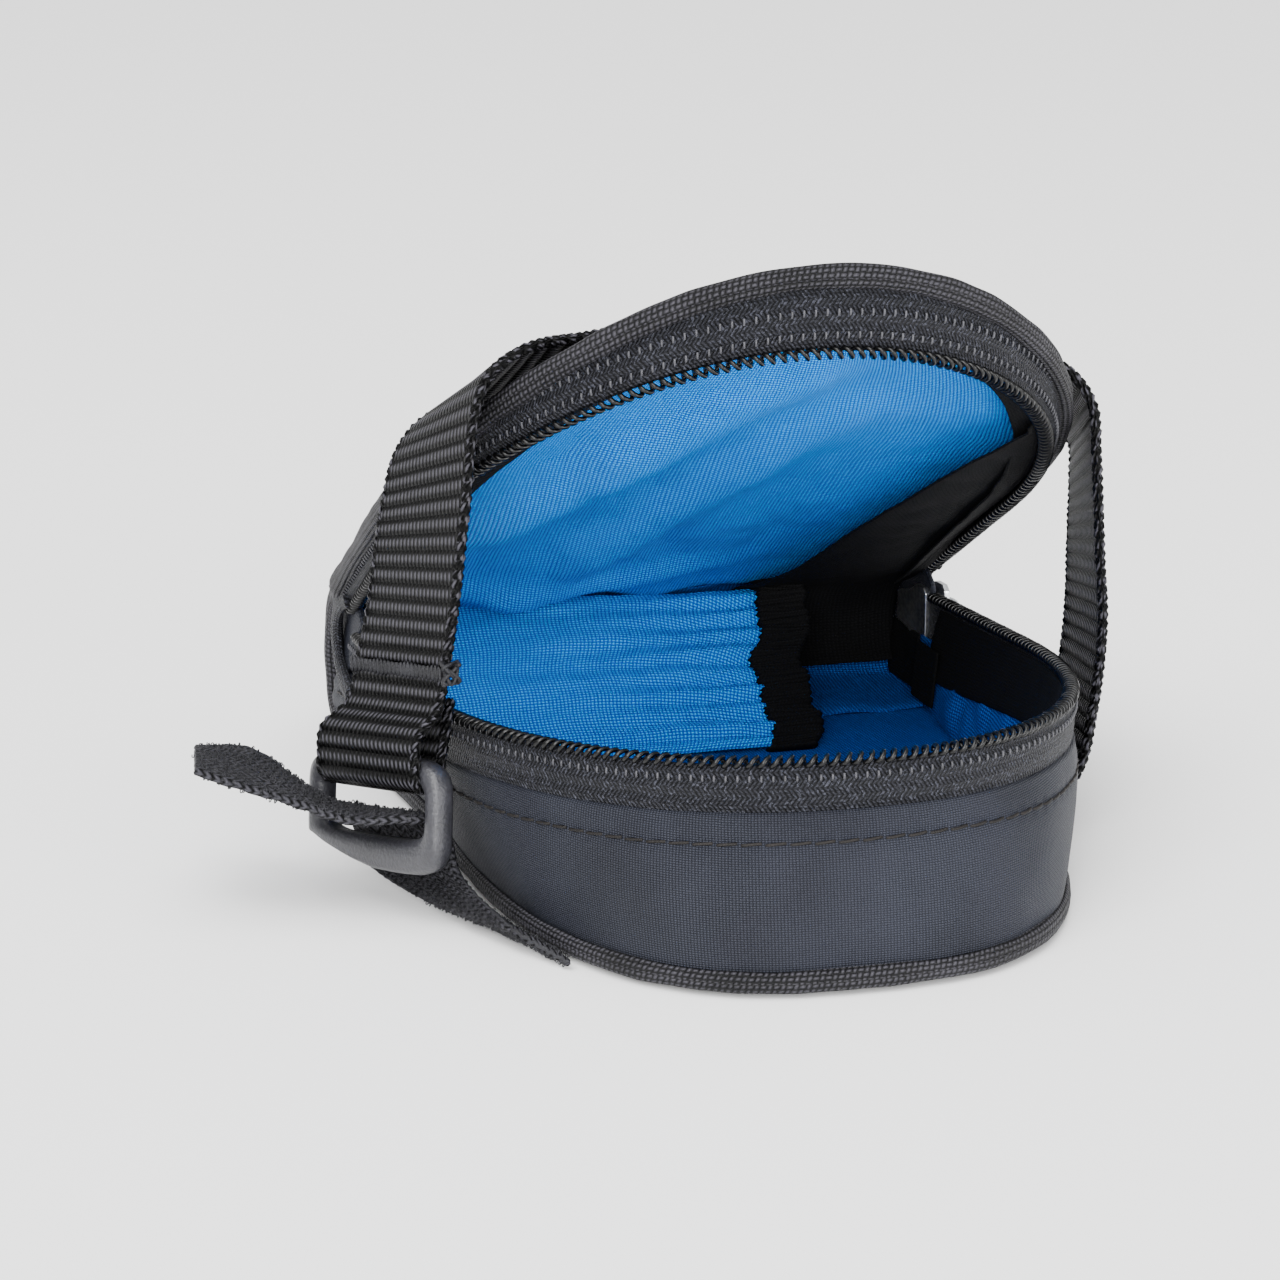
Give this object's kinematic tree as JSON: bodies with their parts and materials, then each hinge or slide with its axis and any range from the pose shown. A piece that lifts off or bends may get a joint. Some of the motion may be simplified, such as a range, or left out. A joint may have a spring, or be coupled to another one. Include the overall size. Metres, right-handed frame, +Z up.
{
  "type": "bicycle saddle bag",
  "caption": "Small rounded zip-up saddle bag with a tilt-up lid, bright lining, inner pocket, webbing belt, loop buckle and hook-and-loop strap.",
  "frame": {"origin": "on the ground under the middle of the base", "axes": "+Z up, -Y towards the rounded tail, +Y towards the front panel where the lid folds, +X to the slider's side"},
  "size_m": [0.1286, 0.1328, 0.0876],
  "materials": {
    "coated_cloth": "satin coated weave",
    "coarse_cloth": "matt coarse weave",
    "binding": "ribbed",
    "zip_tape": "matt herringbone",
    "zip_coil": "satin",
    "lining": "sheen nylon",
    "elastic": "ribbed",
    "webbing": "ribbed nylon",
    "hook_loop": "fuzzy",
    "thread": "matt",
    "board": "matt",
    "buckle": "satin moulded",
    "slider": "polished"
  },
  "bodies": {
    "base": {"bottom_panel": "coarse_cloth", "bottom_stiffener": "board", "bottom_binding": "binding", "front_panel": "coarse_cloth", "side_gusset": "coated_cloth", "gusset_topstitch": "thread", "lower_zip_tape": "zip_tape", "lower_zip_coil": "zip_coil", "left_zip_end": "zip_tape", "right_zip_end": "zip_tape", "floor_lining": "lining", "wall_lining": "lining", "front_lining": "lining", "inner_pocket": "lining", "pocket_elastic": "elastic", "belt_webbing": "webbing", "belt_bartack": "thread", "hook_strap": "hook_loop"},
    "lid": {"top_panel": "coarse_cloth", "top_stiffener": "board", "top_lining": "lining", "top_binding": "binding", "lid_apron": "coarse_cloth", "upper_zip_tape": "zip_tape", "upper_zip_coil": "zip_coil"},
    "buckle": {"buckle": "buckle"},
    "tail": {"strap_tail": "hook_loop"},
    "slider": {"zip_slider": "slider"},
    "puller": {"zip_puller": "slider"}
  },
  "joints": [
    {"name": "lid_hinge", "type": "hinge", "parent": "base", "child": "lid", "pos_m": [0, 0.05, 0.012], "axis": [1, 0, 0], "range_deg": [0, 22.5]},
    {"name": "slider_slide", "type": "slide", "parent": "base", "child": "slider", "axis": [0, 1, 0], "range_m": [0, 0.002]},
    {"name": "puller_swing", "type": "hinge", "parent": "slider", "child": "puller", "pos_m": [0.0484, 0.0506, 0.0156], "axis": [0, 0, -1], "range_deg": [0, 150]},
    {"name": "buckle_swing", "type": "hinge", "parent": "base", "child": "buckle", "pos_m": [-0.0525, -0.017, 0.019], "axis": [-0.4843, 0.8629, -0.1444], "range_deg": [-3, 15]},
    {"name": "tail_lift", "type": "hinge", "parent": "buckle", "child": "tail", "pos_m": [-0.05312, -0.01832, 0.01318], "axis": [-0.4843, 0.8629, -0.1444], "range_deg": [-10, 22]}
  ]
}
